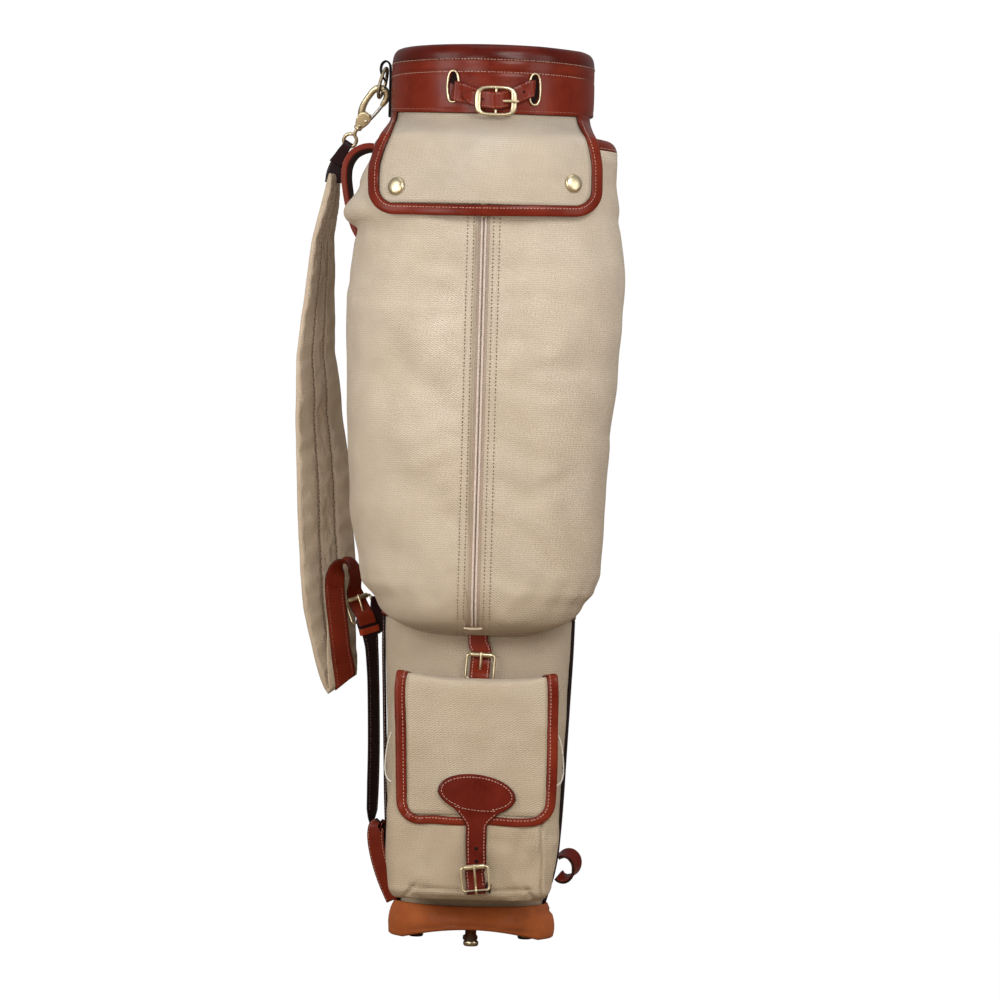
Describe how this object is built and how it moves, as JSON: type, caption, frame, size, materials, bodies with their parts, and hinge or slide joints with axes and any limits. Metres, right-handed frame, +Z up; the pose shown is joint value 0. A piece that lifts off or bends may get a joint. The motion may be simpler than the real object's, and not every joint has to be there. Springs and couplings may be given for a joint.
{
  "type": "golf carry bag",
  "caption": "Slim canvas golf carry bag with leather cuff, boot and trims, hooded garment pocket, buckled ball pocket, brass hardware and a single shoulder sling.",
  "frame": {"origin": "on the floor under the middle of the base, on the centre foot's flat end", "axes": "+Z up, -Y out of the front of the bag where the pockets are, +X to the right of a viewer facing the front"},
  "size_m": [0.3259, 0.2679, 0.888],
  "materials": {
    "canvas": "matt twill",
    "oxblood_leather": "semi-gloss smooth grain",
    "tan_leather": "satin",
    "dark_leather": "satin",
    "antique_brass": "antiqued",
    "spring_steel": "plain",
    "base_board": "matt",
    "zip_tape": "woven tape"
  },
  "bodies": {
    "bag": {"body_shell": "canvas", "side_piping_left": "dark_leather", "side_piping_right": "dark_leather", "base_board": "base_board", "base_boot": "tan_leather", "foot_stud_centre": "antique_brass", "foot_stud_front": "antique_brass", "foot_stud_rear_left": "antique_brass", "foot_stud_rear_right": "antique_brass", "cuff_leather": "oxblood_leather", "rim_roll": "oxblood_leather", "club_divider": "canvas", "stay_frame": "spring_steel", "cuff_loop_left": "antique_brass", "cuff_loop_right": "antique_brass", "cuff_strap_chape": "oxblood_leather", "cuff_strap_billet": "oxblood_leather", "cuff_buckle_frame": "antique_brass", "garment_pocket": "canvas", "pocket_mouth_binding": "oxblood_leather", "zip_tape": "zip_tape", "snap_stud_left": "antique_brass", "snap_stud_right": "antique_brass", "mid_belt": "oxblood_leather", "cuff_anchor_tab": "dark_leather", "ball_pocket": "canvas", "ball_pocket_hood": "canvas", "hanger_strap": "oxblood_leather", "hanger_chape": "oxblood_leather", "hanger_buckle_frame": "antique_brass"},
    "cover_flap": {"flap_canvas": "canvas", "flap_binding": "oxblood_leather", "snap_cap_left": "antique_brass", "snap_cap_right": "antique_brass"},
    "ball_flap": {"ball_flap_canvas": "canvas", "ball_flap_binding": "oxblood_leather", "ball_patch_strap": "oxblood_leather", "ball_buckle_frame": "antique_brass"},
    "zip": {"zip_slider": "antique_brass"},
    "zip_tab": {"zip_pull": "antique_brass"},
    "cuff_prong": {"cuff_buckle_prong": "antique_brass"},
    "hanger_prong": {"hanger_buckle_prong": "antique_brass"},
    "hanger_roller": {"hanger_buckle_roller": "antique_brass"},
    "ball_prong": {"ball_buckle_prong": "antique_brass"},
    "ball_roller": {"ball_buckle_roller": "antique_brass"},
    "sling": {"sling_ring": "antique_brass", "sling_tab": "dark_leather", "sling_pad": "canvas", "sling_end_strap": "oxblood_leather", "sling_buckle_frame": "antique_brass", "sling_chape": "dark_leather", "hook_eye": "antique_brass"},
    "hook": {"hook_body": "antique_brass"},
    "gate": {"hook_gate": "antique_brass"},
    "sling_prong": {"sling_buckle_prong": "antique_brass"},
    "sling_roller": {"sling_buckle_roller": "antique_brass"},
    "keeper": {"sling_keeper": "oxblood_leather"},
    "carry_handle": {"carry_handle": "oxblood_leather"},
    "lower_handle": {"lower_handle": "oxblood_leather"},
    "umbrella_loop": {"umbrella_loop": "oxblood_leather"}
  },
  "joints": [
    {"name": "cover_flap_hinge", "type": "hinge", "parent": "bag", "child": "cover_flap", "pos_m": [0, -0.118, 0.808], "axis": [-1, 0, 0], "range_deg": [0, 100]},
    {"name": "zip_slide", "type": "slide", "parent": "bag", "child": "zip", "axis": [0, 0, -1], "range_m": [0, 0.36]},
    {"name": "zip_pull_swing", "type": "hinge", "parent": "zip", "child": "zip_tab", "pos_m": [-0.0047, -0.155, 0.738], "axis": [0, 1, 0], "range_deg": [-40, 40]},
    {"name": "ball_flap_hinge", "type": "hinge", "parent": "bag", "child": "ball_flap", "pos_m": [0, -0.153, 0.265], "axis": [-1, 0, 0], "range_deg": [0, 120]},
    {"name": "cuff_prong_swing", "type": "hinge", "parent": "bag", "child": "cuff_prong", "pos_m": [0.0037, -0.10864, 0.8312], "axis": [0, 0, -1], "range_deg": [0, 100]},
    {"name": "hanger_prong_swing", "type": "hinge", "parent": "bag", "child": "hanger_prong", "pos_m": [0.0024, -0.1015, 0.2655], "axis": [0.9982, 0, -0.0599], "range_deg": [0, 75]},
    {"name": "hanger_roller_spin", "type": "hinge", "parent": "bag", "child": "hanger_roller", "pos_m": [0.00381, -0.1015, 0.28896], "axis": [0.9982, 0, -0.0599], "continuous": true},
    {"name": "ball_prong_swing", "type": "hinge", "parent": "ball_flap", "child": "ball_prong", "pos_m": [0.0052, -0.1615, 0.0625], "axis": [0.994, 0, 0.1093], "range_deg": [0, 100]},
    {"name": "ball_roller_spin", "type": "hinge", "parent": "ball_flap", "child": "ball_roller", "pos_m": [0.00268, -0.1615, 0.08536], "axis": [0.994, 0, 0.1093], "continuous": true},
    {"name": "sling_swing", "type": "hinge", "parent": "bag", "child": "sling", "pos_m": [-0.107, 0.015, 0.874], "axis": [-0.0139, -0.013, 0.9998], "range_deg": [-8, 30]},
    {"name": "hook_swivel", "type": "hinge", "parent": "sling", "child": "hook", "pos_m": [-0.13516, 0.03421, 0.8113], "axis": [-0.4991, 0.3593, -0.7885], "range_deg": [-10, 10]},
    {"name": "hook_gate_spring", "type": "hinge", "parent": "hook", "child": "gate", "pos_m": [-0.12481, 0.03033, 0.81757], "axis": [-0.149, -0.932, -0.3304], "range_deg": [0, 20], "stiffness_Nm_per_rad": 0.02},
    {"name": "sling_prong_swing", "type": "hinge", "parent": "sling", "child": "sling_prong", "pos_m": [-0.1142, 0.022, 0.317], "axis": [0.8993, 0.324, 0.2939], "range_deg": [0, 40]},
    {"name": "sling_roller_spin", "type": "hinge", "parent": "sling", "child": "sling_roller", "pos_m": [-0.12223, 0.02436, 0.33896], "axis": [0.8993, 0.324, 0.2939], "continuous": true},
    {"name": "sling_keeper_slide", "type": "slide", "parent": "sling", "child": "keeper", "axis": [0.244, 0.1862, -0.9517], "range_m": [-0.003, 0.0004]},
    {"name": "carry_handle_swing", "type": "hinge", "parent": "bag", "child": "carry_handle", "pos_m": [-0.104, 0.019, 0.731], "axis": [0, 0, 1], "range_deg": [-10, 12]},
    {"name": "lower_handle_swing", "type": "hinge", "parent": "bag", "child": "lower_handle", "pos_m": [-0.085, -0.013, 0.07], "axis": [-0.171, 0, 0.9853], "range_deg": [-12, 12]},
    {"name": "umbrella_loop_swing", "type": "hinge", "parent": "bag", "child": "umbrella_loop", "pos_m": [0.088, 0.011, 0.074], "axis": [0, 0, 1], "range_deg": [-18, 18]}
  ]
}
